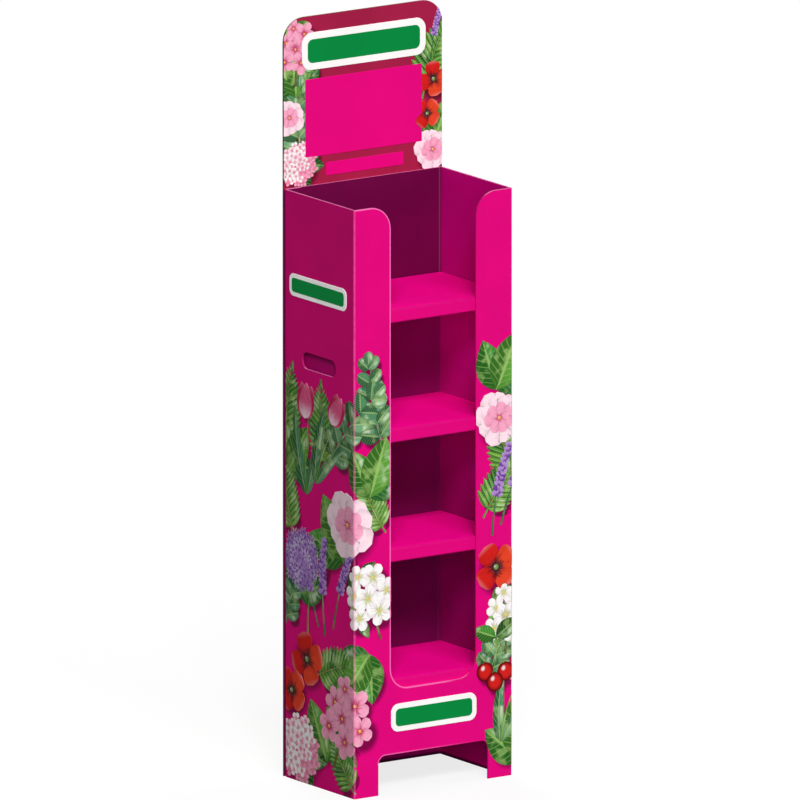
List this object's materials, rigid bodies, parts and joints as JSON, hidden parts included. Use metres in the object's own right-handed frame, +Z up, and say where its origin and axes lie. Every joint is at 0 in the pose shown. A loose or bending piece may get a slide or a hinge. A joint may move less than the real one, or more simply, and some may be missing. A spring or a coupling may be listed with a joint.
{
  "type": "floor display stand",
  "caption": "Tall folded-board floor display stand with a windowed front, open shelves on inner risers, side hand holes, a foot arch and a round-cornered header.",
  "frame": {"origin": "middle of the footprint on the floor, with the back card counted in the depth", "axes": "+Z up, the windowed front faces -Y, the back card is at +Y, +X to the right as seen from the front"},
  "size_m": [0.4, 0.264, 1.616],
  "materials": {
    "printed_wrap": "printed magenta, satin varnish",
    "printed_header": "printed crimson, satin varnish",
    "inner_board": "printed deep magenta, matt",
    "printed_shelf": "printed magenta, satin varnish"
  },
  "bodies": {
    "root": {"outer_wrap": "printed_wrap", "header_card": "printed_header", "riser_1": "inner_board", "riser_2": "inner_board", "riser_3": "inner_board", "riser_4": "inner_board", "shelf_1": "printed_shelf", "shelf_2": "printed_shelf", "shelf_3": "printed_shelf", "shelf_4": "printed_shelf"}
  },
  "joints": []
}
